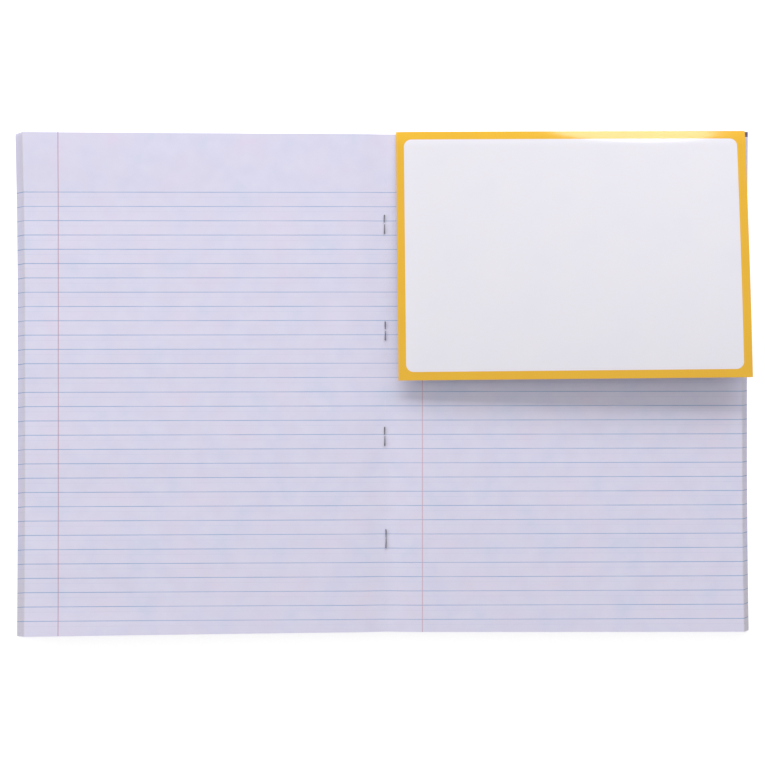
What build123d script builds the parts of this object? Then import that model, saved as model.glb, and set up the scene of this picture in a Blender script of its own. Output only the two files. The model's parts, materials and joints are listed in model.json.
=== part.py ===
from build123d import *
import os
from math import asin, cos, degrees, radians, sin

# A stapled exercise book lying open at its centre spread, with a plain glossy card glued by its head
# strip to the right-hand page. Millimetres. X runs across the spread, Y towards the head of the page
# and Z up. The origin is under the fold, half way up the page, on the surface that the book lies on.

# Sheets: each folded sheet gives one leaf to the left and one to the right of the fold
sheet_count = 24
page_height = 297.0
centre_leaf_width = 214.4
left_creep_per_sheet = 0.309
right_creep_per_sheet = 0.161
paper_thickness = 0.1
fold_gap = 0.05

# Air between neighbouring leaves at the fold and at the two fore-edges, and under the lowest leaf
fold_air = 0.07
left_edge_air = 0.2
right_edge_air = 0.035
lowest_leaf_clearance = 0.05

# Cover: one card folded at the spine, lifted there by the staple crowns beneath it
cover_thickness = 0.3
cover_past_leaves = 0.2
spine_slope_width = 12.0

# Staples along the fold
staple_count = 4
staple_spacing = 63.0
staple_crown = 11.6
wire_diameter = 0.6
wire_bend_radius = 0.6
wire_clearance = 0.05
leg_hole_clearance = 0.1
clinch_gap = 1.0
tail_clinch_gap = 0.2
clinch_gap_offset = 0.5

# Card: a head strip glued to the page, a crease, and a panel that stands a little off the page
card_width = 209.0
card_height = 148.0
card_thickness = 0.35
card_from_fold = 6.9
card_past_head = 1.5
card_skew = 0.55
card_lift = 5.2
card_strip_height = 4.5
crease_gap = 0.06
glue_thickness = 0.1
glue_width = 2.4
glue_end_margin = 5.0
glue_page_margin = 0.3

# Worked-out heights and widths
LEFT, RIGHT = -1, 1
edge_air = {LEFT: left_edge_air, RIGHT: right_edge_air}
creep_per_sheet = {LEFT: left_creep_per_sheet, RIGHT: right_creep_per_sheet}
spine_rise = wire_diameter + 2 * wire_clearance
stack_start = cover_thickness + lowest_leaf_clearance
leg_hole_depth = wire_diameter / 2 + leg_hole_clearance
leg_hole_width = wire_diameter + 2 * leg_hole_clearance
staple_places = [staple_spacing * (i - (staple_count - 1) / 2) for i in range(staple_count)]
leg_places = [y + end * (staple_crown - wire_diameter) / 2 for y in staple_places for end in (-1, 1)]


def leaf_width(side, number):
    """Fold to fore-edge, for leaf 1 at the top of the stack down to the longest one at the cover."""
    return centre_leaf_width + (number - 1) * creep_per_sheet[side]


def leaf_heights(side, number):
    """Heights of a leaf's underside at the fold and at its fore-edge."""
    leaves_below = sheet_count - number
    at_fold = spine_rise + stack_start + leaves_below * (paper_thickness + fold_air)
    at_edge = stack_start + leaves_below * (paper_thickness + edge_air[side])
    return at_fold, at_edge


def cover_width(side):
    """Fold to fore-edge of the cover, just past the longest leaf."""
    return leaf_width(side, sheet_count) + cover_past_leaves


def leaf(side, number):
    """One flat leaf, from its fold to its fore-edge, notched along the fold for the staple legs."""
    at_fold, at_edge = leaf_heights(side, number)
    width = leaf_width(side, number)
    half = page_height / 2
    outline = [(fold_gap, -half), (width, -half), (width, half), (fold_gap, half)]
    for y in sorted(leg_places, reverse=True):
        upper, lower = y + leg_hole_width / 2, y - leg_hole_width / 2
        outline += [(fold_gap, upper), (leg_hole_depth, upper), (leg_hole_depth, lower), (fold_gap, lower)]
    towards_edge = Vector(side * width, 0, at_edge - at_fold)
    lie = Plane((0, 0, at_fold), x_dir=towards_edge, z_dir=Vector(0, side, 0).cross(towards_edge) * -1)
    return extrude(lie * make_face(Polyline(*outline, close=True)), paper_thickness)


def cover(side):
    """One cover board: flat on the table, rising over the staple crowns at the spine."""
    width = cover_width(side)
    profile = [
        (fold_gap, spine_rise),
        (spine_slope_width, 0),
        (width, 0),
        (width, cover_thickness),
        (spine_slope_width, cover_thickness),
        (fold_gap, spine_rise + cover_thickness),
    ]
    outline = [(side * distance, height) for distance, height in profile]
    board = extrude(Plane.XZ * make_face(Polyline(*outline, close=True)), page_height / 2, both=True)
    hole = Box(2 * leg_hole_depth, leg_hole_width, 4 * (spine_rise + cover_thickness))
    return board - [Pos(0, y, 0) * hole for y in leg_places]


def staple(y, gap):
    """One wire staple: a crown under the cover, two legs through the fold, and clinched ends on top."""
    crown_height = wire_clearance + wire_diameter / 2
    clinch_height = leaf_heights(LEFT, 1)[0] + paper_thickness + wire_clearance + wire_diameter / 2
    leg = (staple_crown - wire_diameter) / 2
    middle = y + clinch_gap_offset
    path = FilletPolyline(
        (0, middle + gap / 2, clinch_height),
        (0, y + leg, clinch_height),
        (0, y + leg, crown_height),
        (0, y - leg, crown_height),
        (0, y - leg, clinch_height),
        (0, middle - gap / 2, clinch_height),
        radius=wire_bend_radius,
    )
    return sweep(Plane(path @ 0, z_dir=path % 0) * Circle(wire_diameter / 2), path=path)


def page_slope():
    """Rise of the right-hand page's top face for each millimetre away from the fold."""
    at_fold, at_edge = leaf_heights(RIGHT, 1)
    return (at_edge - at_fold) / leaf_width(RIGHT, 1)


def page_top(distance):
    """Height of the right-hand page's top face at a distance from the fold."""
    return leaf_heights(RIGHT, 1)[0] + paper_thickness + page_slope() * distance


def card_strip_plane():
    """The plane of the glued strip: on the page, from the card's head corner nearest the fold."""
    skew = radians(card_skew)
    along = Vector(cos(skew), sin(skew), page_slope() * cos(skew))
    up_page = Vector(-sin(skew), cos(skew), -page_slope() * sin(skew))
    corner = (card_from_fold, page_height / 2 + card_past_head, page_top(card_from_fold) + glue_thickness)
    return Plane(corner, x_dir=along, z_dir=along.cross(up_page))


def card_panel_plane():
    """The plane of the lifted panel's top face, from the crease end nearest the fold."""
    strip = card_strip_plane()
    crease = strip.from_local_coords(Vector(0, -card_strip_height, card_thickness))
    lift_angle = degrees(asin(card_lift / (card_height - card_strip_height)))
    tilted = strip.z_dir.rotate(Axis((0, 0, 0), strip.x_dir), -lift_angle)
    return Plane(crease, x_dir=strip.x_dir, z_dir=tilted)


def card_strip():
    """The head strip of the card, glued down."""
    low_end = (Align.MIN, Align.MAX, Align.MIN)
    return card_strip_plane() * Box(card_width, card_strip_height, card_thickness, align=low_end)


def card_panel():
    """The rest of the card, past the crease."""
    length = card_height - card_strip_height - crease_gap
    top_end = (Align.MIN, Align.MAX, Align.MAX)
    return card_panel_plane() * Pos(0, -crease_gap, 0) * Box(card_width, length, card_thickness, align=top_end)


def card_glue():
    """The line of glue between the head of the page and the card's strip."""
    start = card_from_fold + glue_end_margin
    end = card_from_fold + card_width * cos(radians(card_skew)) - glue_end_margin
    head = page_height / 2 - glue_page_margin
    corners = [(start, page_top(start)), (end, page_top(end))]
    over = [(x, z + glue_thickness) for x, z in reversed(corners)]
    face = Plane.XZ * make_face(Polyline(*corners, *over, close=True))
    return Pos(0, head, 0) * extrude(face, glue_width)


def book():
    """Every piece of the book by name."""
    pieces = {"front_cover": cover(LEFT), "back_cover": cover(RIGHT)}
    for number in range(1, sheet_count + 1):
        pieces[f"left_leaf_{number:02d}"] = leaf(LEFT, number)
        pieces[f"right_leaf_{number:02d}"] = leaf(RIGHT, number)
    for i, y in enumerate(reversed(staple_places)):
        gap = tail_clinch_gap if i == staple_count - 1 else clinch_gap
        pieces[f"staple_{i + 1}"] = staple(y, gap)
    pieces["card_panel"] = card_panel()
    pieces["card_strip"] = card_strip()
    pieces["card_glue"] = card_glue()
    return pieces


os.makedirs("parts", exist_ok=True)
for name, piece in book().items():
    export_step(piece, f"parts/{name}.step")

print("top page at the fold, mm:", page_top(0))
print("card crease, mm:", card_panel_plane().origin, "along", card_panel_plane().x_dir)
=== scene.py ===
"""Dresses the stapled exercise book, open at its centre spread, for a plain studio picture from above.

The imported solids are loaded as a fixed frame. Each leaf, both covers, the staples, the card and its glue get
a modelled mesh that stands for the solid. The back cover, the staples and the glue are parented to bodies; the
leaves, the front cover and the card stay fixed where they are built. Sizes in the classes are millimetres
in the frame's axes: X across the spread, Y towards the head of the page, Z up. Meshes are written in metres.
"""

from __future__ import annotations

import json
import logging
import math
from collections.abc import Callable, Mapping, Sequence
from dataclasses import dataclass, field
from enum import Enum
from typing import Any

import bmesh
import bpy
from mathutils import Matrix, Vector

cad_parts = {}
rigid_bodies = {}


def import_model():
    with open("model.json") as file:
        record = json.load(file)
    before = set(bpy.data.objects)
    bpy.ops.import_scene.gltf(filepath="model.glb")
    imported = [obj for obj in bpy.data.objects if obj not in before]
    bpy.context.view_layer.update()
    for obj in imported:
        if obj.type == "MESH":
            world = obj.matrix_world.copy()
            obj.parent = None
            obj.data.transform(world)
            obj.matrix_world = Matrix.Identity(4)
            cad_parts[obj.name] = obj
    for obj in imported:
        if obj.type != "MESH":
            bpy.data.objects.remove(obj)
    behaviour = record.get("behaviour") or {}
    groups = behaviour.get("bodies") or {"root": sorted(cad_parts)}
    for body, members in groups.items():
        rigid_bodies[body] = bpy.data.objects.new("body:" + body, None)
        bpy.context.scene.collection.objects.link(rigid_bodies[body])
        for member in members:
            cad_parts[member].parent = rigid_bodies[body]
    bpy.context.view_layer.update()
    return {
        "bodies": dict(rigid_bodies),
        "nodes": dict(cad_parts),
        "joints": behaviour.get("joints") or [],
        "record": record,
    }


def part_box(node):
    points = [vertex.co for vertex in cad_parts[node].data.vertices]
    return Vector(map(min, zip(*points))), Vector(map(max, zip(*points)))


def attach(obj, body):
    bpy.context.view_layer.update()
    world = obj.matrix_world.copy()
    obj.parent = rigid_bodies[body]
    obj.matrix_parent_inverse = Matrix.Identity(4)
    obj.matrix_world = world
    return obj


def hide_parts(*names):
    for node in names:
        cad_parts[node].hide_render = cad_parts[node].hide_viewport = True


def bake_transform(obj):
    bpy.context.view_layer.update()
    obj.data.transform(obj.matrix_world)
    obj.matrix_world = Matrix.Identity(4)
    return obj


log = logging.getLogger("exercise_book")

MM = 0.001
PLACE = "place"  # vertex attribute: two millimetre coordinates on the flat sheet, then 0 or 1 for its face
WEAR_AND_SHADE = "wear"  # vertex attribute: how soiled the sheet is there, with painted shade added, from 0 to 1
BAKE_MAP = "OFBake"
SHARP_ANGLE = 40.0
WHITE = "#ffffff"

# Settings that many nodes share
COLOURS = {"data_type": "RGBA"}
SOFT_STEP = {"interpolation_type": "SMOOTHSTEP"}
SUBTRACT = {"operation": "SUBTRACT"}
MULTIPLY = {"operation": "MULTIPLY"}
ABSOLUTE = {"operation": "ABSOLUTE"}
MINIMUM = {"operation": "MINIMUM"}
MAXIMUM = {"operation": "MAXIMUM"}

# Detail of the noise patterns, from smooth waves to ragged scuffs
WAVES, PATCHES, GRAIN, SCUFFS = 1.0, 2.0, 3.0, 4.0

Point = tuple[float, float, float]
Frame = dict[str, Any]
Tree = bpy.types.NodeTree
Node = bpy.types.Node
Socket = bpy.types.NodeSocket
Material = bpy.types.Material
Piece = bpy.types.Object


class Kind(Enum):
    """The kinds of node that the finishes, the table and the surround use."""

    ATTRIBUTE = "ShaderNodeAttribute"
    AXES = "ShaderNodeSeparateXYZ"
    MATH = "ShaderNodeMath"
    VECTOR_MATH = "ShaderNodeVectorMath"
    CLAMP = "ShaderNodeClamp"
    RANGE = "ShaderNodeMapRange"
    MIX = "ShaderNodeMix"
    NOISE = "ShaderNodeTexNoise"
    CELLS = "ShaderNodeTexVoronoi"
    BUMP = "ShaderNodeBump"
    SURFACE = "ShaderNodeBsdfPrincipled"
    DIFFUSE = "ShaderNodeBsdfDiffuse"
    EMISSION = "ShaderNodeEmission"
    ADD_SHADERS = "ShaderNodeAddShader"
    MIX_SHADERS = "ShaderNodeMixShader"
    LIGHT_PATH = "ShaderNodeLightPath"
    BACKGROUND = "ShaderNodeBackground"
    OUTPUT = "ShaderNodeOutputMaterial"
    WORLD_OUTPUT = "ShaderNodeOutputWorld"


class Side(Enum):
    """Which side of the fold a leaf or cover lies on, as the sign of its X."""

    LEFT = -1
    RIGHT = 1

    @property
    def word(self) -> str:
        """The side's name as the nodes are named."""
        return self.name.lower()


class Face(Enum):
    """The two faces of a sheet, as the third number of its place attribute."""

    UPPER = 0
    LOWER = 1


class LampShape(Enum):
    """The outline of a lamp's front."""

    OBLONG = "RECTANGLE"
    ROUND = "ELLIPSE"


class LampUse(Enum):
    """What a lamp is for: lighting, showing in shiny faces, or both."""

    BOTH = "both"
    LIGHT = "light"
    GLOSS = "gloss"


def linear(hex_colour: str) -> tuple[float, float, float, float]:
    """Turns an sRGB hex colour into linear light.

    Args:
        hex_colour: The colour as "#rrggbb".

    Returns:
        Red, green and blue in linear light, and full alpha.
    """
    channels = [int(hex_colour[i : i + 2], 16) / 255 for i in (1, 3, 5)]
    curved = [c / 12.92 if c <= 0.04045 else ((c + 0.055) / 1.055) ** 2.4 for c in channels]
    return curved[0], curved[1], curved[2], 1.0


def smooth(low: float, high: float, value: float) -> float:
    """Eases from 0 at low to 1 at high.

    Args:
        low: Where the step starts.
        high: Where it is complete.
        value: The place to read.

    Returns:
        A number from 0 to 1.
    """
    share = min(1.0, max(0.0, (value - low) / (high - low)))
    return share * share * (3 - 2 * share)


def towards_end(v: float, start: float, half: float) -> float:
    """Grows from 0 well inside a sheet to 1 at its head and tail.

    Args:
        v: Height on the sheet, from its middle.
        start: Distance from the middle where the growth starts.
        half: Half the sheet's height.

    Returns:
        A number from 0 to 1.
    """
    return min(1.0, max(0.0, (abs(v) - start) / (half - start))) ** 2


def spread(length: float, count: int) -> list[float]:
    """Places from -length/2 to length/2, closer together towards the two ends.

    Args:
        length: The whole length.
        count: How many steps.

    Returns:
        The places in order.
    """
    return [length / 2 * math.sin(math.pi * (i / count - 0.5)) for i in range(count + 1)]


def add_node(
    tree: Tree,
    kind: Kind,
    options: Mapping[str, Any] | None = None,
    inputs: Mapping[int | str, Any] | None = None,
) -> Node:
    """Adds one node with its settings and links.

    Args:
        tree: The node tree to add to.
        kind: The kind of node.
        options: Settings of the node itself, by name.
        inputs: For each input, by name or number: a value, a socket to link, or a node to link by its first
            output in use.

    Returns:
        The new node.
    """
    node = tree.nodes.new(kind.value)
    for name, value in (options or {}).items():
        setattr(node, name, value)
    for key, value in (inputs or {}).items():
        if isinstance(value, Node):
            value = next(socket for socket in value.outputs if socket.enabled)
        if isinstance(value, Socket):
            tree.links.new(value, node.inputs[key])
        else:
            node.inputs[key].default_value = value
    return node


def new_material(name: str) -> tuple[Material, Tree]:
    """Makes an empty node material.

    Args:
        name: The material's name.

    Returns:
        The material and its node tree.
    """
    material = bpy.data.materials.new(name)
    material.use_nodes = True
    material.node_tree.nodes.clear()
    return material, material.node_tree


def coat(tree: Tree, relief: Node, strength: float, depth: float, inputs: Mapping[str, Any]) -> None:
    """Ends a finish: raises a relief on the surface and shows the surface.

    Args:
        tree: The node tree to add to.
        relief: A node that gives the relief's pattern.
        strength: How strongly the relief shows.
        depth: The relief's depth in millimetres.
        inputs: The surface's other inputs, by name.
    """
    bump = add_node(tree, Kind.BUMP, inputs={"Strength": strength, "Distance": depth * MM, "Height": relief})
    surface = add_node(tree, Kind.SURFACE, inputs={**inputs, "Normal": bump})
    add_node(tree, Kind.OUTPUT, inputs={"Surface": surface})


@dataclass(frozen=True)
class RuledPaper:
    """Wood-free writing paper, calendered on the machine and ruled in thin ink on both faces.

    The pulp gives a matt lavender white with a cloudy look where it is thicker, a faint tooth, and blue
    lines that print a little stronger in some places, and towards the fore-edge. The fore-edges are greyer,
    partly from thumbing and partly from painted shade, which is darker on the upper leaves and at the lower
    leaves' tail corner.
    """

    pale: str = "#e4e1f5"
    pink_cloud: str = "#e4dbf0"
    blue_cloud: str = "#d8daf2"
    # greyer colour of soiled fore-edges, also used as painted shade there
    edge_soil: str = "#d9d4d4"
    line_ink: str = "#86a8d2"
    verso_ink: str = "#bd8fa9"
    recto_ink: str = "#d3abbd"
    page_height: float = 297.0
    first_line_from_head: float = 34.8
    line_pitch: float = 8.49
    line_count: int = 31
    line_width: float = 0.36
    margin_width: float = 0.42
    recto_margin: float = 22.1
    verso_margin: float = 194.6
    ink_edge: float = 0.12
    ink_patch: float = 30.0
    faintest_ink: float = 0.6
    heavy_from: float = 110.0
    heavy_to: float = 205.0
    heavy_gain: float = 1.25
    show_through: float = 0.10
    show_through_shift: float = 3.1
    cloud: float = 26.0
    cloud_split: float = 2.3
    least_cloud: float = 0.2
    most_cloud: float = 0.8
    patch_low: float = 0.32
    patch_high: float = 0.68
    fibre: float = 1.1  # a real fibre is a tenth as wide, too fine to show, so the tooth is drawn this coarse
    tooth_strength: float = 0.12
    tooth_depth: float = 0.05
    sheen_patch: float = 4.4
    least_rough: float = 0.72
    most_rough: float = 0.86
    ior: float = 1.5

    def material(self, verso_up: bool) -> Material:
        """Builds the finish for leaves whose upper face is a verso, or for the others.

        Args:
            verso_up: True for the leaves left of the fold.

        Returns:
            The material.
        """
        material, tree = new_material(f"ruled_paper_{'verso' if verso_up else 'recto'}_up")
        place = add_node(tree, Kind.ATTRIBUTE, {"attribute_name": PLACE}).outputs["Vector"]
        across, height, face = add_node(tree, Kind.AXES, inputs={0: place}).outputs
        # the fore-edge mix is part real soiling and part painted shade, darker on the upper leaves and at the
        # lower leaves' tail corner
        soil_and_shade = add_node(tree, Kind.ATTRIBUTE, {"attribute_name": WEAR_AND_SHADE}).outputs["Fac"]
        pulp = self._pulp(tree, place)
        thumbed = add_node(tree, Kind.MIX, COLOURS, {"Factor": soil_and_shade, "A": pulp, "B": linear(self.edge_soil)})
        ink = self._ruling(tree, place, across, height)
        ruled = add_node(tree, Kind.MIX, COLOURS, {"Factor": ink, "A": thumbed, "B": linear(self.line_ink)})
        inks = (self.verso_ink, self.recto_ink) if verso_up else (self.recto_ink, self.verso_ink)
        upper_ink, lower_ink = (linear(colour) for colour in inks)
        margin_ink = add_node(tree, Kind.MIX, COLOURS, {"Factor": face, "A": upper_ink, "B": lower_ink})
        margin = self._margin(tree, across, face, verso_up)
        printed = add_node(tree, Kind.MIX, COLOURS, {"Factor": margin, "A": ruled, "B": margin_ink})
        tooth = add_node(tree, Kind.NOISE, inputs={"Vector": place, "Scale": 1 / self.fibre, "Detail": GRAIN})
        rough = self._cloud(tree, place, self.sheen_patch, self.least_rough, self.most_rough)
        shell = {"Base Color": printed, "Roughness": rough, "IOR": self.ior}
        coat(tree, tooth, self.tooth_strength, self.tooth_depth, shell)
        return material

    def _pulp(self, tree: Tree, place: Socket) -> Node:
        """Colours the bare sheet, in patches of thicker and thinner pulp.

        Args:
            tree: The node tree to add to.
            place: Millimetre coordinates on the sheet.

        Returns:
            A node that gives the colour.
        """
        hue = self._cloud(tree, place, self.cloud, 0.0, 1.0)
        pink, blue = linear(self.pink_cloud), linear(self.blue_cloud)
        tint = add_node(tree, Kind.MIX, COLOURS, {"Factor": hue, "A": pink, "B": blue})
        depth = self._cloud(tree, place, self.cloud / self.cloud_split, self.least_cloud, self.most_cloud)
        return add_node(tree, Kind.MIX, COLOURS, {"Factor": depth, "A": linear(self.pale), "B": tint})

    def _ruling(self, tree: Tree, place: Socket, across: Socket, height: Socket) -> Node:
        """Draws the ruling, with a trace of the other face's lines, in ink that varies over the sheet.

        Args:
            tree: The node tree to add to.
            place: Millimetre coordinates on the sheet.
            across: Millimetres from the fold.
            height: Millimetres above the middle of the page.

        Returns:
            A node that gives the strength of the ink.
        """
        lines = self._lines(tree, height, 0.0)
        behind = self._lines(tree, height, self.show_through_shift)
        faint = add_node(tree, Kind.MATH, MULTIPLY, {0: behind, 1: self.show_through})
        shown = add_node(tree, Kind.MATH, MAXIMUM, {0: lines, 1: faint})
        patchy = self._cloud(tree, place, self.ink_patch, self.faintest_ink, 1.0)
        heavier = add_node(
            tree,
            Kind.RANGE,
            inputs={
                "Value": across,
                "From Min": self.heavy_from,
                "From Max": self.heavy_to,
                "To Min": 1.0,
                "To Max": self.heavy_gain,
            },
        )
        strength = add_node(tree, Kind.MATH, MULTIPLY, {0: patchy, 1: heavier})
        return add_node(tree, Kind.MATH, MULTIPLY, {0: shown, 1: strength})

    def _lines(self, tree: Tree, height: Socket, shift: float) -> Node:
        """Draws the lines of one face, from the height on the page.

        Args:
            tree: The node tree to add to.
            height: Millimetres above the middle of the page.
            shift: Millimetres that the lines are moved down the page.

        Returns:
            A node that gives 1 on a line and 0 between lines.
        """
        first = self.page_height / 2 - self.first_line_from_head - shift
        last_number = self.line_count - 1.0
        drop = add_node(tree, Kind.MATH, SUBTRACT, {0: first, 1: height})
        steps = add_node(tree, Kind.MATH, {"operation": "DIVIDE"}, {0: drop, 1: self.line_pitch})
        rounded = add_node(tree, Kind.MATH, {"operation": "ROUND"}, {0: steps})
        nearest = add_node(tree, Kind.CLAMP, inputs={"Value": rounded, "Min": 0.0, "Max": last_number})
        apart = add_node(tree, Kind.MATH, SUBTRACT, {0: steps, 1: nearest})
        gap = add_node(tree, Kind.MATH, ABSOLUTE, {0: apart})
        return self._stroke(tree, gap, self.line_width, self.line_pitch)

    def _margin(self, tree: Tree, across: Socket, face: Socket, verso_up: bool) -> Node:
        """Draws the pink margin line of each face.

        Args:
            tree: The node tree to add to.
            across: Millimetres from the fold.
            face: The sheet's face, 0 above and 1 below.
            verso_up: True where the upper face is the verso.

        Returns:
            A node that gives 1 on the line.
        """
        above, below = self.recto_margin, self.verso_margin
        if verso_up:
            above, below = below, above
        line = add_node(tree, Kind.MATH, {"operation": "MULTIPLY_ADD"}, {0: face, 1: below - above, 2: above})
        apart = add_node(tree, Kind.MATH, SUBTRACT, {0: across, 1: line})
        gap = add_node(tree, Kind.MATH, ABSOLUTE, {0: apart})
        return self._stroke(tree, gap, self.margin_width, 1.0)

    def _stroke(self, tree: Tree, gap: Node, width: float, unit: float) -> Node:
        """Turns the distance to a line's middle into ink.

        Args:
            tree: The node tree to add to.
            gap: The distance, in units.
            width: The line's width in millimetres.
            unit: Millimetres in a unit.

        Returns:
            A node that gives 1 within the line and 0 outside, with a soft edge.
        """
        inner, outer = (width - self.ink_edge) / 2 / unit, (width + self.ink_edge) / 2 / unit
        return add_node(
            tree,
            Kind.RANGE,
            SOFT_STEP,
            {"Value": gap, "From Min": inner, "From Max": outer, "To Min": 1.0, "To Max": 0.0},
        )

    def _cloud(self, tree: Tree, place: Socket, size: float, low: float, high: float) -> Node:
        """Makes soft patches over the sheet.

        Args:
            tree: The node tree to add to.
            place: Millimetre coordinates on the sheet.
            size: Width of a patch in millimetres.
            low: The value in the faintest patches.
            high: The value in the strongest ones.

        Returns:
            A node that gives the patches' value.
        """
        patches = add_node(tree, Kind.NOISE, inputs={"Vector": place, "Scale": 1 / size, "Detail": PATCHES})
        return add_node(
            tree,
            Kind.RANGE,
            inputs={
                "Value": patches,
                "From Min": self.patch_low,
                "From Max": self.patch_high,
                "To Min": low,
                "To Max": high,
            },
        )


@dataclass(frozen=True)
class CoverBoard:
    """Thin manila board, dyed violet through the pulp and calendered, with a fine emboss.

    The dye gives a deep slightly cloudy violet with paler flecks of waste pulp, the calender a soft sheen
    outside and a duller face inside, and the edges, the corners and the spine fold are paler where they rub.
    """

    outside: str = "#5d4f78"
    outside_dark: str = "#51456a"
    inside: str = "#665a7c"
    inside_dark: str = "#5d5271"
    rubbed: str = "#9a92ad"
    fleck: str = "#8b81a0"
    patch: float = 18.0
    rub_width: float = 2.4
    rub_reach: float = 1.6
    fleck_size: float = 1.3  # a real fleck is about half as wide, drawn coarser so that it shows
    fleck_from: float = 0.66
    fleck_to: float = 0.76
    fleck_strength: float = 0.7
    emboss: float = 0.9
    emboss_scatter: float = 0.8
    emboss_strength: float = 0.25
    emboss_depth: float = 0.04
    inside_rough: float = 0.75
    outside_rough: float = 0.6
    ior: float = 1.5

    def material(self, width: float, height: float) -> Material:
        """Builds the finish for a cover of one size.

        Args:
            width: Fold to fore-edge.
            height: Tail to head.

        Returns:
            The material.
        """
        material, tree = new_material("dyed_manila_board")
        place = add_node(tree, Kind.ATTRIBUTE, {"attribute_name": PLACE}).outputs["Vector"]
        across, along, face = add_node(tree, Kind.AXES, inputs={0: place}).outputs
        outside = self._dyed(tree, place, self.outside, self.outside_dark)
        inside = self._dyed(tree, place, self.inside, self.inside_dark)
        rub = self._rub(tree, place, self._from_rim(tree, across, along, width, height))
        worn = add_node(tree, Kind.MIX, COLOURS, {"Factor": rub, "A": outside, "B": linear(self.rubbed)})
        colour = add_node(tree, Kind.MIX, COLOURS, {"Factor": face, "A": inside, "B": worn})
        cells = add_node(
            tree,
            Kind.CELLS,
            inputs={"Vector": place, "Scale": 1 / self.emboss, "Randomness": self.emboss_scatter},
        )
        rough = add_node(
            tree,
            Kind.RANGE,
            inputs={"Value": face, "To Min": self.inside_rough, "To Max": self.outside_rough},
        )
        shell = {"Base Color": colour, "Roughness": rough, "IOR": self.ior}
        coat(tree, cells, self.emboss_strength, self.emboss_depth, shell)
        return material

    def _dyed(self, tree: Tree, place: Socket, pale: str, dark: str) -> Node:
        """Colours one face: cloudy dye with flecks of paler pulp.

        Args:
            tree: The node tree to add to.
            place: Millimetre coordinates on the board.
            pale: The dye where it is thin.
            dark: The dye where it is deep.

        Returns:
            A node that gives the colour.
        """
        patches = add_node(
            tree, Kind.NOISE, inputs={"Vector": place, "Scale": 1 / self.patch, "Detail": GRAIN}
        )
        dye = add_node(tree, Kind.MIX, COLOURS, {"Factor": patches, "A": linear(pale), "B": linear(dark)})
        specks = add_node(
            tree, Kind.NOISE, inputs={"Vector": place, "Scale": 1 / self.fleck_size, "Detail": WAVES}
        )
        flecks = add_node(
            tree,
            Kind.RANGE,
            inputs={
                "Value": specks,
                "From Min": self.fleck_from,
                "From Max": self.fleck_to,
                "To Min": 0.0,
                "To Max": self.fleck_strength,
            },
        )
        return add_node(tree, Kind.MIX, COLOURS, {"Factor": flecks, "A": dye, "B": linear(self.fleck)})

    def _from_rim(self, tree: Tree, across: Socket, along: Socket, width: float, height: float) -> Node:
        """Measures how far a place is from the board's nearest edge or from the spine fold.

        Args:
            tree: The node tree to add to.
            across: Millimetres from the fold.
            along: Millimetres above the middle of the board.
            width: Fold to fore-edge.
            height: Tail to head.

        Returns:
            A node that gives the distance in millimetres.
        """
        from_edge = add_node(tree, Kind.MATH, SUBTRACT, {0: width, 1: across})
        from_middle = add_node(tree, Kind.MATH, ABSOLUTE, {0: along})
        from_end = add_node(tree, Kind.MATH, SUBTRACT, {0: height / 2, 1: from_middle})
        outer = add_node(tree, Kind.MATH, MINIMUM, {0: from_edge, 1: from_end})
        return add_node(tree, Kind.MATH, MINIMUM, {0: outer, 1: across})

    def _rub(self, tree: Tree, place: Socket, from_rim: Node) -> Node:
        """Draws the ragged band that is rubbed pale along the rim.

        Args:
            tree: The node tree to add to.
            place: Millimetre coordinates on the board.
            from_rim: Millimetres from the rim.

        Returns:
            A node that gives 1 where the board is rubbed and 0 elsewhere.
        """
        scuffs = add_node(
            tree, Kind.NOISE, inputs={"Vector": place, "Scale": 1 / self.rub_width, "Detail": SCUFFS}
        )
        reach = add_node(tree, Kind.MATH, MULTIPLY, {0: scuffs, 1: self.rub_width * self.rub_reach})
        return add_node(
            tree,
            Kind.RANGE,
            SOFT_STEP,
            {"Value": from_rim, "From Min": 0.0, "From Max": reach, "To Min": 1.0, "To Max": 0.0},
        )


@dataclass(frozen=True)
class ZincWire:
    """Low-carbon steel wire, drawn and zinc plated.

    The plating dulls the steel to a dark even grey, with fine draw marks along the wire and brighter worn
    streaks.
    """

    dull: str = "#44424b"
    bright: str = "#75737d"
    streak: float = 0.5
    stretch: float = 8.0
    mark_strength: float = 0.2
    mark_depth: float = 0.02
    least_rough: float = 0.3
    most_rough: float = 0.5

    def material(self) -> Material:
        """Builds the finish.

        Returns:
            The material.
        """
        material, tree = new_material("zinc_plated_drawn_wire")
        place = add_node(tree, Kind.ATTRIBUTE, {"attribute_name": PLACE}).outputs["Vector"]
        per_mark = (1 / (self.streak * self.stretch), 1 / self.streak, 1.0)
        drawn = add_node(tree, Kind.VECTOR_MATH, MULTIPLY, {0: place, 1: per_mark})
        marks = add_node(tree, Kind.NOISE, inputs={"Vector": drawn, "Scale": 1.0, "Detail": GRAIN})
        dull, bright = linear(self.dull), linear(self.bright)
        colour = add_node(tree, Kind.MIX, COLOURS, {"Factor": marks, "A": dull, "B": bright})
        rough = add_node(
            tree, Kind.RANGE, inputs={"Value": marks, "To Min": self.least_rough, "To Max": self.most_rough}
        )
        shell = {"Base Color": colour, "Metallic": 1.0, "Roughness": rough}
        coat(tree, marks, self.mark_strength, self.mark_depth, shell)
        return material


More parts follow.
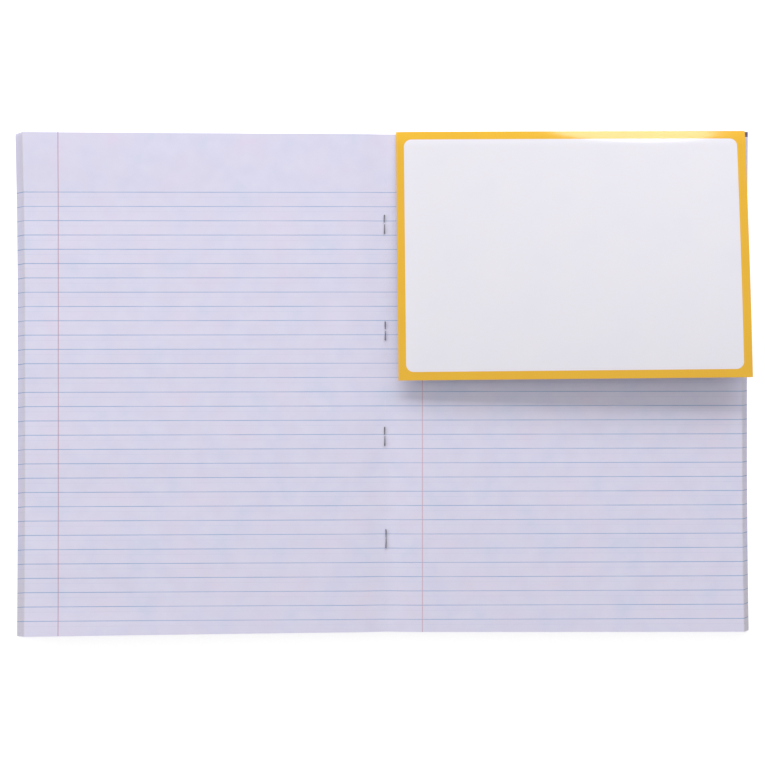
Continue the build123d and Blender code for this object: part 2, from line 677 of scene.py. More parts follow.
@dataclass(frozen=True)
class GlossCard:
    """White board printed with a yellow frame and laminated with a clear gloss film.

    The film gives sharp reflections with a slight ripple, the print a warm even yellow, and the bare middle a
    slightly cool white. The back is plain uncoated board, with greyer fibres in its pulp.
    """

    frame_ink: str = "#eebb26"
    frame_deep: str = "#e8b020"
    panel: str = "#eeebf2"
    panel_cloud: str = "#e6e4ee"
    back: str = "#dedbdb"
    back_pulp: str = "#cec9c7"
    border: float = 4.9
    corner: float = 4.5
    panel_shift: tuple[float, float] = (-0.2, -0.15)
    print_edge: float = 0.22
    patch: float = 24.0
    ripple: float = 14.0
    ripple_strength: float = 0.1
    ripple_depth: float = 0.1
    pulp_size: float = 1.6  # real pulp fibres are a tenth as wide, drawn coarser so that they show
    pulp_from: float = 0.52
    pulp_to: float = 0.72
    film_rough: float = 0.09
    back_rough: float = 0.7
    ior: float = 1.5

    def material(self, width: float, height: float) -> Material:
        """Builds the finish for a card of one size.

        Args:
            width: Across the card.
            height: Head to bottom edge.

        Returns:
            The material.
        """
        material, tree = new_material("laminated_printed_card")
        place = add_node(tree, Kind.ATTRIBUTE, {"attribute_name": PLACE}).outputs["Vector"]
        face = add_node(tree, Kind.AXES, inputs={0: place}).outputs["Z"]
        patches = add_node(
            tree, Kind.NOISE, inputs={"Vector": place, "Scale": 1 / self.patch, "Detail": PATCHES}
        )
        frame_ink, frame_deep = linear(self.frame_ink), linear(self.frame_deep)
        panel, panel_cloud = linear(self.panel), linear(self.panel_cloud)
        ink = add_node(tree, Kind.MIX, COLOURS, {"Factor": patches, "A": frame_ink, "B": frame_deep})
        bare = add_node(tree, Kind.MIX, COLOURS, {"Factor": patches, "A": panel, "B": panel_cloud})
        inside = self._panel_mask(tree, place, width, height)
        front = add_node(tree, Kind.MIX, COLOURS, {"Factor": inside, "A": ink, "B": bare})
        pulp = add_node(
            tree, Kind.NOISE, inputs={"Vector": place, "Scale": 1 / self.pulp_size, "Detail": GRAIN}
        )
        fibres = add_node(
            tree, Kind.RANGE, inputs={"Value": pulp, "From Min": self.pulp_from, "From Max": self.pulp_to}
        )
        back, back_pulp = linear(self.back), linear(self.back_pulp)
        plain = add_node(tree, Kind.MIX, COLOURS, {"Factor": fibres, "A": back, "B": back_pulp})
        colour = add_node(tree, Kind.MIX, COLOURS, {"Factor": face, "A": front, "B": plain})
        wave = add_node(tree, Kind.NOISE, inputs={"Vector": place, "Scale": 1 / self.ripple, "Detail": WAVES})
        rough = add_node(
            tree, Kind.RANGE, inputs={"Value": face, "To Min": self.film_rough, "To Max": self.back_rough}
        )
        shell = {"Base Color": colour, "Roughness": rough, "IOR": self.ior}
        coat(tree, wave, self.ripple_strength, self.ripple_depth, shell)
        return material

    def _panel_mask(self, tree: Tree, place: Socket, width: float, height: float) -> Node:
        """Draws the bare panel with its round corners.

        Args:
            tree: The node tree to add to.
            place: Millimetre coordinates from the card's head corner nearest the fold.
            width: Across the card.
            height: Head to bottom edge.

        Returns:
            A node that gives 1 on the panel and 0 on the printed frame.
        """
        half = (width / 2 - self.border - self.corner, height / 2 - self.border - self.corner, 0.0)
        middle = (width / 2 + self.panel_shift[0], height / 2 + self.panel_shift[1], 0.0)
        centred = add_node(tree, Kind.VECTOR_MATH, SUBTRACT, {0: place, 1: middle})
        flat = add_node(tree, Kind.VECTOR_MATH, MULTIPLY, {0: centred, 1: (1.0, 1.0, 0.0)})
        folded = add_node(tree, Kind.VECTOR_MATH, ABSOLUTE, {0: flat})
        past = add_node(tree, Kind.VECTOR_MATH, SUBTRACT, {0: folded, 1: half})
        outside = add_node(tree, Kind.VECTOR_MATH, MAXIMUM, {0: past, 1: (0.0, 0.0, 0.0)})
        distance = add_node(tree, Kind.VECTOR_MATH, {"operation": "LENGTH"}, {0: outside})
        return add_node(
            tree,
            Kind.RANGE,
            SOFT_STEP,
            {
                "Value": distance,
                "From Min": self.corner - self.print_edge / 2,
                "From Max": self.corner + self.print_edge / 2,
                "To Min": 1.0,
                "To Max": 0.0,
            },
        )


@dataclass(frozen=True)
class DriedGlue:
    """White wood glue, brushed on and dried clear: a milky film with a low uneven shine."""

    film: str = "#e4dfd6"
    thin: str = "#d8d2cc"
    brush: float = 1.4
    least_rough: float = 0.3
    most_rough: float = 0.55
    ior: float = 1.46

    def material(self) -> Material:
        """Builds the finish.

        Returns:
            The material.
        """
        material, tree = new_material("brushed_dried_glue")
        place = add_node(tree, Kind.ATTRIBUTE, {"attribute_name": PLACE}).outputs["Vector"]
        strokes = add_node(
            tree, Kind.NOISE, inputs={"Vector": place, "Scale": 1 / self.brush, "Detail": PATCHES}
        )
        film, thin = linear(self.film), linear(self.thin)
        colour = add_node(tree, Kind.MIX, COLOURS, {"Factor": strokes, "A": film, "B": thin})
        rough = add_node(
            tree, Kind.RANGE, inputs={"Value": strokes, "To Min": self.least_rough, "To Max": self.most_rough}
        )
        surface = add_node(
            tree, Kind.SURFACE, inputs={"Base Color": colour, "Roughness": rough, "IOR": self.ior}
        )
        add_node(tree, Kind.OUTPUT, inputs={"Surface": surface})
        return material


def close_mesh(work: bmesh.types.BMesh, name: str) -> bpy.types.Mesh:
    """Ends a mesh in the making, with its faces looking outwards.

    Args:
        work: The mesh in the making, which is freed.
        name: The mesh's name.

    Returns:
        The mesh.
    """
    bmesh.ops.recalc_face_normals(work, faces=work.faces)
    mesh = bpy.data.meshes.new(name)
    work.to_mesh(mesh)
    work.free()
    return mesh


def finish_mesh(mesh: bpy.types.Mesh, material: Material) -> Piece:
    """Smooths a mesh between its sharp edges, gives it a finish and puts it in the scene.

    Args:
        mesh: The mesh, whose name the object takes.
        material: Its finish.

    Returns:
        The new object.
    """
    mesh.polygons.foreach_set("use_smooth", [True] * len(mesh.polygons))
    mesh.set_sharp_from_angle(angle=math.radians(SHARP_ANGLE))
    mesh.materials.append(material)
    piece = bpy.data.objects.new(mesh.name, mesh)
    bpy.context.scene.collection.objects.link(piece)
    return piece


@dataclass(frozen=True)
class Sheet:
    """A thin closed sheet over a grid of places, with an upper face, a lower face and a rim."""

    name: str
    columns: Sequence[float]
    rows: Sequence[float]
    thickness: float
    surface: Callable[[float, float], Point]
    place: Callable[[float, float], tuple[float, float]] | None = None
    wear: Callable[[float, float], float] | None = None
    map_inset: float = 0.012
    rim_inset: float = 0.006

    def build(self, material: Material) -> Piece:
        """Makes the mesh object, with its place attribute, its bake map and its finish.

        Args:
            material: The sheet's finish.

        Returns:
            The object, in the scene and in place.
        """
        work = bmesh.new()
        upper, lower = (self._grid(work, face) for face in Face)
        across, along = len(self.columns), len(self.rows)
        for grid in (upper, lower):
            for i in range(across - 1):
                for j in range(along - 1):
                    work.faces.new([grid[i][j], grid[i + 1][j], grid[i + 1][j + 1], grid[i][j + 1]])
        rim = [(i, 0) for i in range(across - 1)] + [(across - 1, j) for j in range(along - 1)]
        rim += [(i, along - 1) for i in range(across - 1, 0, -1)] + [(0, j) for j in range(along - 1, 0, -1)]
        for (i, j), (k, m) in zip(rim, rim[1:] + rim[:1]):
            work.faces.new([upper[i][j], upper[k][m], lower[k][m], lower[i][j]])
        mesh = close_mesh(work, self.name)
        self._write_places(mesh)
        self._write_map(mesh)
        return finish_mesh(mesh, material)

    def _grid(self, work: bmesh.types.BMesh, face: Face) -> list[list[bmesh.types.BMVert]]:
        """Adds the vertices of one face.

        Args:
            work: The mesh in the making.
            face: The upper face, or the lower one a thickness below it.

        Returns:
            The vertices, column by column.
        """
        drop = self.thickness * face.value
        grid = []
        for u in self.columns:
            points = [self.surface(u, v) for v in self.rows]
            grid.append([work.verts.new((x * MM, y * MM, (z - drop) * MM)) for x, y, z in points])
        return grid

    def _write_places(self, mesh: bpy.types.Mesh) -> None:
        """Stores where each vertex lies on the flat sheet, so that print, grain, soiling and painted shade
        stay with the sheet.

        Args:
            mesh: The sheet's mesh.
        """
        places: list[float] = []
        wear_and_shade_values: list[float] = []
        for face in Face:
            for u in self.columns:
                for v in self.rows:
                    spot = self.place(u, v) if self.place else (u, v)
                    places.extend((*spot, float(face.value)))
                    wear_and_shade_values.append(self.wear(u, v) if self.wear else 0.0)
        mesh.attributes.new(PLACE, "FLOAT_VECTOR", "POINT").data.foreach_set("vector", places)
        mesh.attributes.new(WEAR_AND_SHADE, "FLOAT", "POINT").data.foreach_set("value", wear_and_shade_values)

    def _write_map(self, mesh: bpy.types.Mesh) -> None:
        """Lays the two faces side by side on a map, each with its rim as a narrow border round it.

        Args:
            mesh: The sheet's mesh.
        """
        count = len(self.columns) * len(self.rows)
        layer = mesh.uv_layers.new(name=BAKE_MAP)
        for polygon in mesh.polygons:
            half = min(index // count for index in polygon.vertices)
            for loop in polygon.loop_indices:
                index = mesh.loops[loop].vertex_index
                layer.uv[loop].vector = self._map_point(index % count, half, index // count != half)

    def _map_point(self, index: int, half: int, outer: bool) -> tuple[float, float]:
        """Gives a grid point's place on the map.

        Args:
            index: The point's number in its face.
            half: 0 for the map's left half, 1 for its right.
            outer: True for the far side of the rim, just outside the face.

        Returns:
            The map coordinates.
        """
        column, row = divmod(index, len(self.rows))
        inset = self.rim_inset if outer else self.map_inset
        across = self._share(self.columns, column)
        along = self._share(self.rows, row)
        return half / 2 + inset + across * (0.5 - 2 * inset), inset + along * (1 - 2 * inset)

    @staticmethod
    def _share(places: Sequence[float], number: int) -> float:
        """How far along its list a place lies, from 0 to 1."""
        return (places[number] - places[0]) / (places[-1] - places[0])


@dataclass
class Leaf:
    """One paper leaf, from the fold to its fore-edge, as it lies in the open book.

    A size that starts with low is the lowest leaf's. Leaves between it and the top one take values between.
    """

    side: Side
    number: int
    leaf_count: int
    width: float
    height: float
    fold_top: float
    edge_top: float
    thickness: float = 0.1

    # how it lies: the bend at the fold, the swell past the gutter, curled corners and a slight cockle
    bend: float = 12.0
    fold_gap: float = 0.01
    slope_power: float = 1.6
    gutter_swell: float = 0.7
    swell_width: float = 18.0
    head_curl: float = 0.0
    tail_curl: float = 0.0
    curl_start: float = 60.0
    curl_power: float = 2.2
    cockle: float = 0.0
    cockle_length: float = 58.5
    cockle_crest: float = 17.6
    cockle_power: float = 1.5

    # how it is cut and ruled: taller or wider towards its corners, with the ruling a little off its axis
    head_flare: float = 0.0
    tail_flare: float = 0.0
    low_head_flare: float = 0.0
    low_tail_flare: float = 0.0
    head_reach: float = 0.0
    tail_reach: float = 0.0
    reach_start: float = 30.0
    reach_power: float = 3.0
    ruling_drop: float = 0.0
    low_ruling_drop: float = 0.0
    ruling_spread: float = 0.0
    low_ruling_spread: float = 0.0

    # how it is soiled by thumbing at the fore-edge, with painted shade: darker on the upper leaves and at the
    # lower leaves' tail corner
    thumbed_width: float = 0.4
    thumbed: float = 0.65
    low_thumbed: float = 0.05
    low_corner_thumbed: float = 0.8
    corner_start: float = 95.0
    corner_end: float = 130.0

    # steps of its grid
    bend_steps: int = 8
    flat_steps: Sequence[float] = (0.04, 0.1, 0.2, 0.32, 0.45, 0.58, 0.7, 0.8, 0.88, 0.94, 0.98)
    row_steps: int = 32

    @property
    def node(self) -> str:
        """The leaf's node and body name."""
        return f"{self.side.word}_leaf_{self.number:02d}"

    @property
    def height_share(self) -> float:
        """1 for the top leaf of the stack, 0 for the lowest."""
        return (self.leaf_count - self.number) / (self.leaf_count - 1)

    def top(self, u: float, v: float) -> float:
        """Height of the leaf's upper face.

        Args:
            u: Distance from the fold.
            v: Height on the page, from its middle.

        Returns:
            The height above the table.
        """
        share = min(1.0, max(0.0, u / self.width))
        lie = self.fold_top + (self.edge_top - self.fold_top) * share**self.slope_power
        swell = self.gutter_swell * smooth(0.0, self.swell_width, u) * (1 - share * share)
        curl = (self.head_curl if v > 0 else self.tail_curl) * share**self.curl_power
        curl *= towards_end(v, self.curl_start, self.height / 2)
        wave = math.cos(2 * math.pi * (v - self.cockle_crest) / self.cockle_length)
        cockle = self.cockle * share**self.cockle_power * wave
        return lie + self.height_share * (swell + curl + cockle)

    def point(self, u: float, v: float) -> Point:
        """A point of the upper face, in millimetres, for a place on the flat leaf."""
        return self.side.value * self._across(u, v), self._flared(u, v), self.top(u, v)

    def place(self, u: float, v: float) -> tuple[float, float]:
        """Where a point lies on the print, whose ruling runs and spreads a little off the leaf's own axis.

        Args:
            u: Distance from the fold.
            v: Height on the page, from its middle.

        Returns:
            Distance from the fold and height on the print.
        """
        share = u / self.width
        drop = self._between(self.low_ruling_drop, self.ruling_drop)
        fan = self._between(self.low_ruling_spread, self.ruling_spread)
        height = self._flared(u, v) * (1 - fan / (self.height / 2) * share) + drop * share
        return self._across(u, v), height

    def wear(self, u: float, v: float) -> float:
        """How soiled the leaf is from handling at its fore-edge, with painted shade added: stronger on the
        upper leaves, and, low in the stack, at its tail corner.

        Args:
            u: Distance from the fold.
            v: Height on the page, from its middle.

        Returns:
            0 for clean, unshaded paper to 1.
        """
        corner = smooth(self.corner_start, self.corner_end, -v)
        low = self.low_thumbed + (self.low_corner_thumbed - self.low_thumbed) * corner
        return self._between(low, self.thumbed) * smooth(self.width - self.thumbed_width, self.width, u)

    def _between(self, low: float, top: float) -> float:
        """A value part way from the lowest leaf's to the top leaf's, as this leaf lies in the stack."""
        return low + (top - low) * self.height_share

    def _across(self, u: float, v: float) -> float:
        """Distance from the fold, with the leaf cut a little wider at its head and tail.

        Args:
            u: Distance from the fold on the flat leaf.
            v: Height on the page, from its middle.

        Returns:
            The distance.
        """
        reach = self.head_reach if v > 0 else self.tail_reach
        reach *= towards_end(v, self.reach_start, self.height / 2)
        return u + reach * (u / self.width) ** self.reach_power

    def _flared(self, u: float, v: float) -> float:
        """Height on the page, with the leaf cut a little taller at its fore-edge.

        Args:
            u: Distance from the fold.
            v: Height on the flat leaf, from its middle.

        Returns:
            The height.
        """
        if v > 0:
            flare = self._between(self.low_head_flare, self.head_flare)
        else:
            flare = self._between(self.low_tail_flare, self.tail_flare)
        return v * (1 + flare / (self.height / 2) * u / self.width)

    def build(self, material: Material, carrier: str) -> Piece:
        """Makes the leaf, fixed where it is built.

        Args:
            material: The paper.
            carrier: Not used.

        Returns:
            The leaf.
        """
        curved, flat = self.bend - self.fold_gap, self.width - self.bend
        columns = [self.fold_gap + curved * i / self.bend_steps for i in range(self.bend_steps)]
        columns += [self.bend + flat * share for share in (0.0, *self.flat_steps)]
        columns += [self.width - self.thumbed_width, self.width]
        rows = spread(self.height, self.row_steps)
        sheet = Sheet(f"paper_{self.node}", columns, rows, self.thickness, self.point, self.place, self.wear)
        piece = sheet.build(material)
        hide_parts(self.node)
        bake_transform(piece)
        return piece


@dataclass
class LeafStack:
    """All the leaves on one side of the fold, read from the frame, with slightly uneven fore-edges."""

    side: Side
    frame: Frame
    leaf_count: int = 24
    near: float = 1.0
    ragged: float = 0.17
    ragged_step: float = 2.4
    trim: float = 0.0
    low_trim: float = 0.0
    shape: Mapping[str, float] = field(default_factory=dict)

    def leaf(self, number: int) -> Leaf:
        """One leaf, with its sizes from its solid.

        Args:
            number: 1 for the top leaf.

        Returns:
            The leaf, not yet built.
        """
        node = f"{self.side.word}_leaf_{number:02d}"
        corners = [vertex.co / MM for vertex in self.frame["nodes"][node].data.vertices]
        width = max(abs(corner.x) for corner in corners)
        height = 2 * max(corner.y for corner in corners)
        fold_top = max(corner.z for corner in corners if abs(corner.x) < self.near)
        edge_top = max(corner.z for corner in corners if abs(corner.x) > width - self.near)
        width += self.ragged * math.sin(self.ragged_step * (number - 1))
        width -= self.trim + (self.low_trim - self.trim) * (number - 1) / (self.leaf_count - 1)
        return Leaf(self.side, number, self.leaf_count, width, height, fold_top, edge_top, **self.shape)

    def build(self, material: Material, cover: str) -> list[Piece]:
        """Builds the leaves from the lowest up.

        Args:
            material: The paper.
            cover: The body below the lowest leaf, handed on to it.

        Returns:
            The leaves.
        """
        pieces = []
        carrier = cover
        for number in range(self.leaf_count, 0, -1):
            leaf = self.leaf(number)
            pieces.append(leaf.build(material, carrier))
            carrier = leaf.node
        return pieces


@dataclass
class Cover:
    """One half of the cover: flat on the table, with a soft rise over the staples at the spine."""

    side: Side
    node: str
    width: float
    height: float
    spine_top: float
    thickness: float = 0.3
    spine_width: float = 12.0
    fold_gap: float = 0.01
    spine_steps: int = 12
    flat_steps: Sequence[float] = (0.06, 0.2, 0.4, 0.6, 0.8, 0.94, 0.985, 1.0)
    row_steps: int = 16
    trim: float = 0.0
    head_flare: float = 0.0
    tail_flare: float = 0.0
    head_reach: float = 0.0
    tail_reach: float = 0.0
    reach_start: float = 30.0
    reach_power: float = 3.0

    @classmethod
    def from_frame(cls, side: Side, node: str, shape: Mapping[str, float]) -> Cover:
        """Reads the cover's sizes from its solid.

        Args:
            side: Left or right of the fold.
            node: The cover's node.
            shape: Sizes that the solid doesn't show, by field.

        Returns:
            The cover, not yet built.
        """
        low, high = (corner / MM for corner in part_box(node))
        return cls(side, node, max(-low.x, high.x), high.y - low.y, high.z, **shape)

    def point(self, u: float, v: float) -> Point:
        """A point of the inner face, in millimetres, with the board cut like the leaves that lie on it.

        Args:
            u: Distance from the fold.
            v: Height on the board, from its middle.

        Returns:
            The point.
        """
        half, share = self.height / 2, u / self.width
        reach = self.head_reach if v > 0 else self.tail_reach
        reach = reach * towards_end(v, self.reach_start, half) - self.trim
        flare = (self.head_flare if v > 0 else self.tail_flare) * share
        rise = (self.spine_top - self.thickness) * (1 - smooth(0.0, self.spine_width, u))
        across = self.side.value * (u + reach * share**self.reach_power)
        return across, v * (1 + flare / half), self.thickness + rise

    def build(self, finish: CoverBoard, spine: str) -> Piece:
        """Makes the cover with its soft rise at the spine, and joins it to its body if it holds the spine.

        Args:
            finish: The board's finish.
            spine: The body that holds the spine.

        Returns:
            The cover.
        """
        step = (self.spine_width - self.fold_gap) / self.spine_steps
        flat = self.width - self.spine_width
        columns = [self.fold_gap + step * i for i in range(self.spine_steps)]
        columns += [self.spine_width + flat * share for share in (0.0, *self.flat_steps)]
        rows = spread(self.height, self.row_steps)
        sheet = Sheet(f"board_{self.node}", columns, rows, self.thickness, self.point)
        piece = sheet.build(finish.material(self.width, self.height))
        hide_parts(self.node)
        if spine == self.node:
            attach(piece, self.node)
        else:
            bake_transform(piece)
        return piece


@dataclass
class Staple:
    """One wire staple: a crown outside the spine, two legs through the fold and two clinched ends."""

    node: str
    offset: float
    upper_lean: float
    lower_lean: float
    gap: float
    shift: float
    wire: float = 0.6
    bend_radius: float = 0.75
    gap_offset: float = 0.5
    tip_drop: float = 0.12
    tip_taper: float = 0.55
    arc_steps: int = 6
    sides: int = 14

    def path(self) -> list[Vector]:
        """Works out the wire's middle line.

        Returns:
            Its points in millimetres, from one clinched tip to the other.
        """
        low, high = (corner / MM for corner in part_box(self.node))
        radius = self.wire / 2
        head, tail = high.y - radius + self.shift, low.y + radius + self.shift
        top, crown = high.z - radius, low.z + radius
        middle = (head + tail) / 2 + self.gap_offset
        corners = [
            Vector((self.offset + self.upper_lean, middle + self.gap / 2, top - self.tip_drop)),
            Vector((self.offset, head, top)),
            Vector((0.0, head, crown)),
            Vector((0.0, tail, crown)),
            Vector((self.offset, tail, top)),
            Vector((self.offset + self.lower_lean, middle - self.gap / 2, top - self.tip_drop)),
        ]
        points = [corners[0]]
        for before, corner, after in zip(corners, corners[1:], corners[2:]):
            points += self._arc(before, corner, after)
        return [*points, corners[-1]]

    def _arc(self, before: Vector, corner: Vector, after: Vector) -> list[Vector]:
        """Rounds one corner of the wire.

        Args:
            before: The corner that the wire comes from.
            corner: The corner to round.
            after: The corner that it goes to.

        Returns:
            The points of the bend.
        """
        first = corner + (before - corner).normalized() * self.bend_radius
        last = corner + (after - corner).normalized() * self.bend_radius
        shares = [i / self.arc_steps for i in range(self.arc_steps + 1)]
        return [first * (1 - t) ** 2 + corner * (2 * t * (1 - t)) + last * t * t for t in shares]

    def build(self, material: Material, body: str) -> Piece:
        """Sweeps the wire along its line, with cut ends that narrow a little.

        Args:
            material: The wire's finish.
            body: The body that holds the staples.

        Returns:
            The staple.
        """
        points = self.path()
        last = len(points) - 1
        work = bmesh.new()
        rings: list[list[bmesh.types.BMVert]] = []
        places: list[float] = []
        length = 0.0
        for i, point in enumerate(points):
            along = (points[min(i + 1, last)] - points[max(i - 1, 0)]).normalized()
            up = along.cross(Vector((1.0, 0.0, 0.0))).normalized()
            beside = up.cross(along)
            length += (point - points[i - 1]).length if i else 0.0
            radius = self.wire / 2 * (self.tip_taper if i in (0, last) else 1.0)
            ring = []
            for k in range(self.sides):
                turn = 2 * math.pi * k / self.sides
                outwards = beside * math.cos(turn) + up * math.sin(turn)
                ring.append(work.verts.new((point + outwards * radius) * MM))
                places += [length, k / self.sides * math.pi * self.wire, 0.0]
            rings.append(ring)
        for ring, following in zip(rings, rings[1:]):
            for k in range(self.sides):
                m = (k + 1) % self.sides
                work.faces.new([ring[k], ring[m], following[m], following[k]])
        work.faces.new(rings[0])
        work.faces.new(rings[-1])
        mesh = close_mesh(work, f"wire_{self.node}")
        mesh.attributes.new(PLACE, "FLOAT_VECTOR", "POINT").data.foreach_set("vector", places)
        piece = finish_mesh(mesh, material)
        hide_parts(self.node)
        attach(piece, body)
        return piece


@dataclass
class HeadCard:
    """The glossy card: glued along its head, lipped over the page's edge and sprung off the page below."""

    page: Leaf
    width: float = 209.8
    height: float = 148.3
    thickness: float = 0.35

    # where it lies, and how far its head edge runs out of square
    from_fold: float = 6.3
    past_head: float = 1.2
    skew: float = 0.55
    head_dip: float = 0.8
    head_pinch: float = 1.1

    # how it stands off the page: little at its corner nearest the fold, more at the far one
    near_lift: float = 3.0
    far_lift: float = 6.2
    lift_spread: float = 0.8
    lift_power: float = 1.5
    lip: float = 0.4
    lip_reach: float = 9.0

    # the glued strip, its crease and the glue
    strip: float = 4.5
    crease_width: float = 3.5
    glue: float = 0.1
    glue_margin: float = 5.0
    glue_below_head: float = 0.3
    glue_rows: Sequence[float] = (0.0, 0.8, 1.6, 2.4)

    # steps of its grid, close together near the head, where the lip bends it
    column_steps: int = 26
    bend_rows: int = 19
    bend_row_step: float = 0.5
    flat_rows: Sequence[float] = (
        10.5, 13.0, 17.0, 22.0, 28.0, 36.0, 46.0, 58.0, 72.0, 87.0, 102.0, 116.0, 128.0, 138.0, 144.0
    )

    def spot(self, a: float, d: float) -> tuple[float, float]:
        """X and Y of a place on the card.

        Args:
            a: Distance along the head edge from the corner nearest the fold.
            d: Distance down from the head edge.

        Returns:
            The two coordinates in millimetres.
        """
        turn = math.radians(self.skew)
        corner = self.page.height / 2 + self.past_head
        off_square = a / self.width * (1 - d / self.height)
        a -= self.head_pinch * off_square
        d += self.head_dip * off_square
        return (
            self.from_fold + a * math.cos(turn) + d * math.sin(turn),
            corner + a * math.sin(turn) - d * math.cos(turn),
        )

    def rise(self, a: float, d: float) -> float:
        """How far the card stands off the glue.

        Args:
            a: Distance along the head edge.
            d: Distance down from the head edge.

        Returns:
            The height, negative at the lip over the page's head edge.
        """
        x, y = self.spot(a, 0.0)
        overhang = max(0.0, y - self.page.point(min(x, self.page.width), self.page.height / 2)[1])
        roll = max(0.0, 1 - overhang / self.lip_reach) ** 2 - max(0.0, 1 - d / self.lip_reach) ** 2
        lift = self.near_lift + (self.far_lift - self.near_lift) * (a / self.width) ** self.lift_spread
        return lift * (1 - (1 - d / self.height) ** self.lift_power) + self.lip * roll

    def page_top(self, x: float, y: float) -> float:
        """Height of the page below a place, carried on level past the page's edges."""
        half = self.page.height / 2
        return self.page.top(min(x, self.page.width), min(max(y, -half), half))

    def point(self, a: float, d: float) -> Point:
        """A point of the card's upper face, in millimetres."""
        x, y = self.spot(a, d)
        return x, y, self.page_top(x, y) + self.glue + self.thickness + self.rise(a, d)

    def glue_point(self, a: float, d: float) -> Point:
        """A point on top of the glue, which lies on the page.

        Args:
            a: Distance along the glue from its end nearest the fold.
            d: Distance down from its upper edge.

        Returns:
            The point in millimetres.
        """
        u = self.from_fold + self.glue_margin + a
        x, y, z = self.page.point(u, self.page.height / 2 - self.glue_below_head - d)
        return x, y, z + self.glue

    def build(self, finish: GlossCard, glue: DriedGlue) -> list[Piece]:
        """Makes the card and the glue under its head, with the glue joined to the page's body.

        Args:
            finish: The card's finish.
            glue: The glue's finish.

        Returns:
            The card and the glue.
        """
        columns = self._steps(self.width)
        bend_rows = [self.bend_row_step * i for i in range(self.bend_rows)]
        rows = [*bend_rows, *self.flat_rows, self.height]
        sheet = Sheet("card", columns, rows, self.thickness, self.point)
        card = sheet.build(finish.material(self.width, self.height))
        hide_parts("card_panel", "card_strip")
        start = Vector(self.point(self.width / 2, self.strip))
        end = Vector(self.point(self.width / 2, self.strip + self.crease_width))
        start.z = end.z
        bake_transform(card)
        glue_columns = self._steps(self.width - 2 * self.glue_margin)
        line = Sheet("glue_line", glue_columns, self.glue_rows, self.glue, self.glue_point)
        film = line.build(glue.material())
        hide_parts("card_glue")
        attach(film, self.page.node)
        return [card, film]

    def _steps(self, length: float) -> list[float]:
        """Even places along the head, from 0 to a length."""
        return [length * i / self.column_steps for i in range(self.column_steps + 1)]


@dataclass(frozen=True)
class Lamp:
    """One studio lamp: a soft front of some size, aimed at a point."""

    name: str
    place: Point
    size: tuple[float, float]
    power: float
    target: Point = (0.0, 0.0, 0.0)
    shape: LampShape = LampShape.OBLONG
    use: LampUse = LampUse.BOTH

    def build(self) -> None:
        """Puts the lamp in the scene, where it lights the book, shows in shiny faces, or both."""
        light = bpy.data.lights.new(self.name, "AREA")
        light.shape = self.shape.value
        light.size, light.size_y = self.size[0] * MM, self.size[1] * MM
        light.energy = self.power
        stand = bpy.data.objects.new(self.name, light)
        stand.location = Vector(self.place) * MM
        aim = Vector(self.target) - Vector(self.place)
        stand.rotation_euler = aim.to_track_quat("-Z", "Y").to_euler()
        stand.visible_diffuse = self.use is not LampUse.GLOSS
        stand.visible_glossy = self.use is not LampUse.LIGHT
        bpy.context.scene.collection.objects.link(stand)


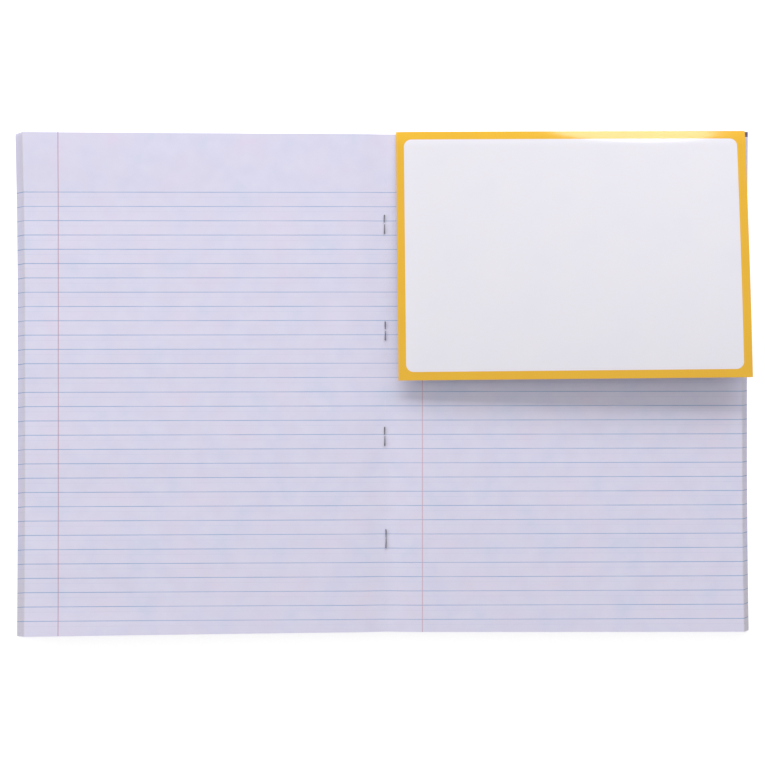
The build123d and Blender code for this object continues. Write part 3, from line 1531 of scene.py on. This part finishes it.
@dataclass
class Studio:
    """The white table, the soft lamps and the camera above the book."""

    table_top: float = -0.1
    table_size: float = 6000.0
    table_white: str = "#e8e8e8"
    table_glow: float = 0.62
    fill: float = 0.43
    pixel: float = 0.597  # of the page, in the picture
    image_side: int = 765
    camera_height: float = 600.0
    camera_place: tuple[float, float] = (-1.7, 0.3)
    page_level: float = 5.06
    sensor: float = 36.0
    lamps: Sequence[Lamp] = (
        Lamp("head_softbox", (0.0, 2400.0, 600.0), size=(4000.0, 600.0), power=132.0, use=LampUse.LIGHT),
        Lamp("side_softbox", (-2600.0, 200.0, 620.0), size=(2400.0, 500.0), power=31.0),
        Lamp(
            "gloss_light",
            (332.0, 499.0, 605.0),
            size=(215.0, 220.0),
            power=0.87,
            target=(332.0, 499.0, 0.0),
            shape=LampShape.ROUND,
            use=LampUse.GLOSS,
        ),
    )

    def build(self) -> None:
        """Makes the table, the surround, the lamps and the camera."""
        self._table()
        self._surround()
        for lamp in self.lamps:
            lamp.build()
        self._camera()
        bpy.context.scene.view_settings.view_transform = "Standard"

    def _table(self) -> None:
        """A wide white table that takes the book's shadow, and looks white seen straight or in gloss."""
        half = self.table_size / 2 * MM
        mesh = bpy.data.meshes.new("table")
        corners = [(-half, -half, 0), (half, -half, 0), (half, half, 0), (-half, half, 0)]
        mesh.from_pydata(corners, [], [(0, 1, 2, 3)])
        table = bpy.data.objects.new("table", mesh)
        table.location.z = self.table_top * MM
        bpy.context.scene.collection.objects.link(table)
        material, tree = new_material("white_table")
        bare = add_node(tree, Kind.DIFFUSE, inputs={"Color": linear(self.table_white)})
        glow = add_node(tree, Kind.EMISSION, inputs={"Color": linear(WHITE), "Strength": self.table_glow})
        bright = add_node(tree, Kind.ADD_SHADERS, inputs={0: bare, 1: glow})
        shown = add_node(tree, Kind.MIX_SHADERS, inputs={0: self._seen(tree), 1: bare, 2: bright})
        add_node(tree, Kind.OUTPUT, inputs={"Surface": shown})
        mesh.materials.append(material)

    def _seen(self, tree: Tree) -> Node:
        """Tells the rays that reach the camera from the rest.

        Args:
            tree: The node tree to add to.

        Returns:
            A node that gives 1 for rays from the camera, straight or by way of gloss or glass.
        """
        rays = add_node(tree, Kind.LIGHT_PATH).outputs
        direct = add_node(tree, Kind.MATH, MAXIMUM, {0: rays["Is Camera Ray"], 1: rays["Is Glossy Ray"]})
        return add_node(tree, Kind.MATH, MAXIMUM, {0: direct, 1: rays["Is Transmission Ray"]})

    def _surround(self) -> None:
        """An even soft surround, white where the camera sees it."""
        world = bpy.data.worlds.new("surround")
        world.use_nodes = True
        tree = world.node_tree
        tree.nodes.clear()
        strength = add_node(
            tree, Kind.RANGE, inputs={"Value": self._seen(tree), "To Min": self.fill, "To Max": 1.0}
        )
        light = add_node(tree, Kind.BACKGROUND, inputs={"Color": linear(WHITE), "Strength": strength})
        add_node(tree, Kind.WORLD_OUTPUT, inputs={"Surface": light})
        bpy.context.scene.world = world

    def _camera(self) -> None:
        """A camera straight above the spread, framed as the picture is."""
        camera = bpy.data.cameras.new("camera")
        camera.sensor_width = self.sensor
        camera.lens = self.sensor * self.camera_height / (self.image_side * self.pixel)
        stand = bpy.data.objects.new("camera", camera)
        stand.location = Vector((*self.camera_place, self.page_level + self.camera_height)) * MM
        bpy.context.scene.collection.objects.link(stand)
        bpy.context.scene.camera = stand


STAPLES = (
    Staple("staple_1", offset=-0.6, upper_lean=-0.1, lower_lean=0.1, gap=1.0, shift=0.2),
    Staple("staple_2", offset=-0.1, upper_lean=0.0, lower_lean=0.1, gap=1.0, shift=-0.4),
    Staple("staple_3", offset=-0.4, upper_lean=-0.1, lower_lean=0.1, gap=1.0, shift=-0.3),
    Staple("staple_4", offset=0.35, upper_lean=0.1, lower_lean=0.15, gap=0.2, shift=1.5),
)
LEFT_COVER_SHAPE = {
    "trim": 0.8,
    "head_flare": 1.3,
    "tail_flare": 3.7,
    "head_reach": 1.45,
    "tail_reach": 0.45,
}
RIGHT_COVER_SHAPE = {
    "trim": 1.0,
    "head_flare": 2.6,
    "head_reach": 0.8,
    "tail_reach": 1.0,
}
LEFT_SHAPE = {
    "cockle": 0.1,
    "head_curl": 0.8,
    "tail_curl": 0.6,
    "head_flare": 0.7,
    "tail_flare": 2.4,
    "low_head_flare": 1.3,
    "low_tail_flare": 3.7,
    "head_reach": 1.45,
    "tail_reach": 0.45,
    "ruling_drop": 0.4,
    "low_ruling_drop": 1.0,
    "ruling_spread": 0.33,
    "low_ruling_spread": 1.7,
}
RIGHT_SHAPE = {
    "bend": 6.2,
    "slope_power": 1.3,
    "tail_curl": 0.6,
    "head_flare": -1.2,
    "tail_flare": 0.3,
    "low_head_flare": -0.6,
    "low_tail_flare": 0.3,
    "head_reach": 0.5,
    "tail_reach": 1.0,
    "ruling_drop": -0.25,
    "low_ruling_drop": -0.55,
}


def main() -> None:
    """Builds the book's pieces on the frame, then the studio."""
    logging.basicConfig(level=logging.INFO, format="%(name)s: %(message)s")
    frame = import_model()
    paper = RuledPaper()
    board = CoverBoard()
    pieces = [
        Cover.from_frame(Side.RIGHT, "back_cover", RIGHT_COVER_SHAPE).build(board, "back_cover"),
        Cover.from_frame(Side.LEFT, "front_cover", LEFT_COVER_SHAPE).build(board, "back_cover"),
    ]
    left = LeafStack(Side.LEFT, frame, low_trim=0.3, shape=LEFT_SHAPE)
    right = LeafStack(Side.RIGHT, frame, trim=0.8, low_trim=0.5, shape=RIGHT_SHAPE)
    pieces += left.build(paper.material(verso_up=True), "front_cover")
    pieces += right.build(paper.material(verso_up=False), "back_cover")
    wire = ZincWire().material()
    pieces += [staple.build(wire, "back_cover") for staple in STAPLES]
    pieces += HeadCard(right.leaf(1)).build(GlossCard(), DriedGlue())
    for piece in pieces:
        log.info("%s: %d faces", piece.name, len(piece.data.polygons))
    Studio().build()


if __name__ == "__main__":
    main()
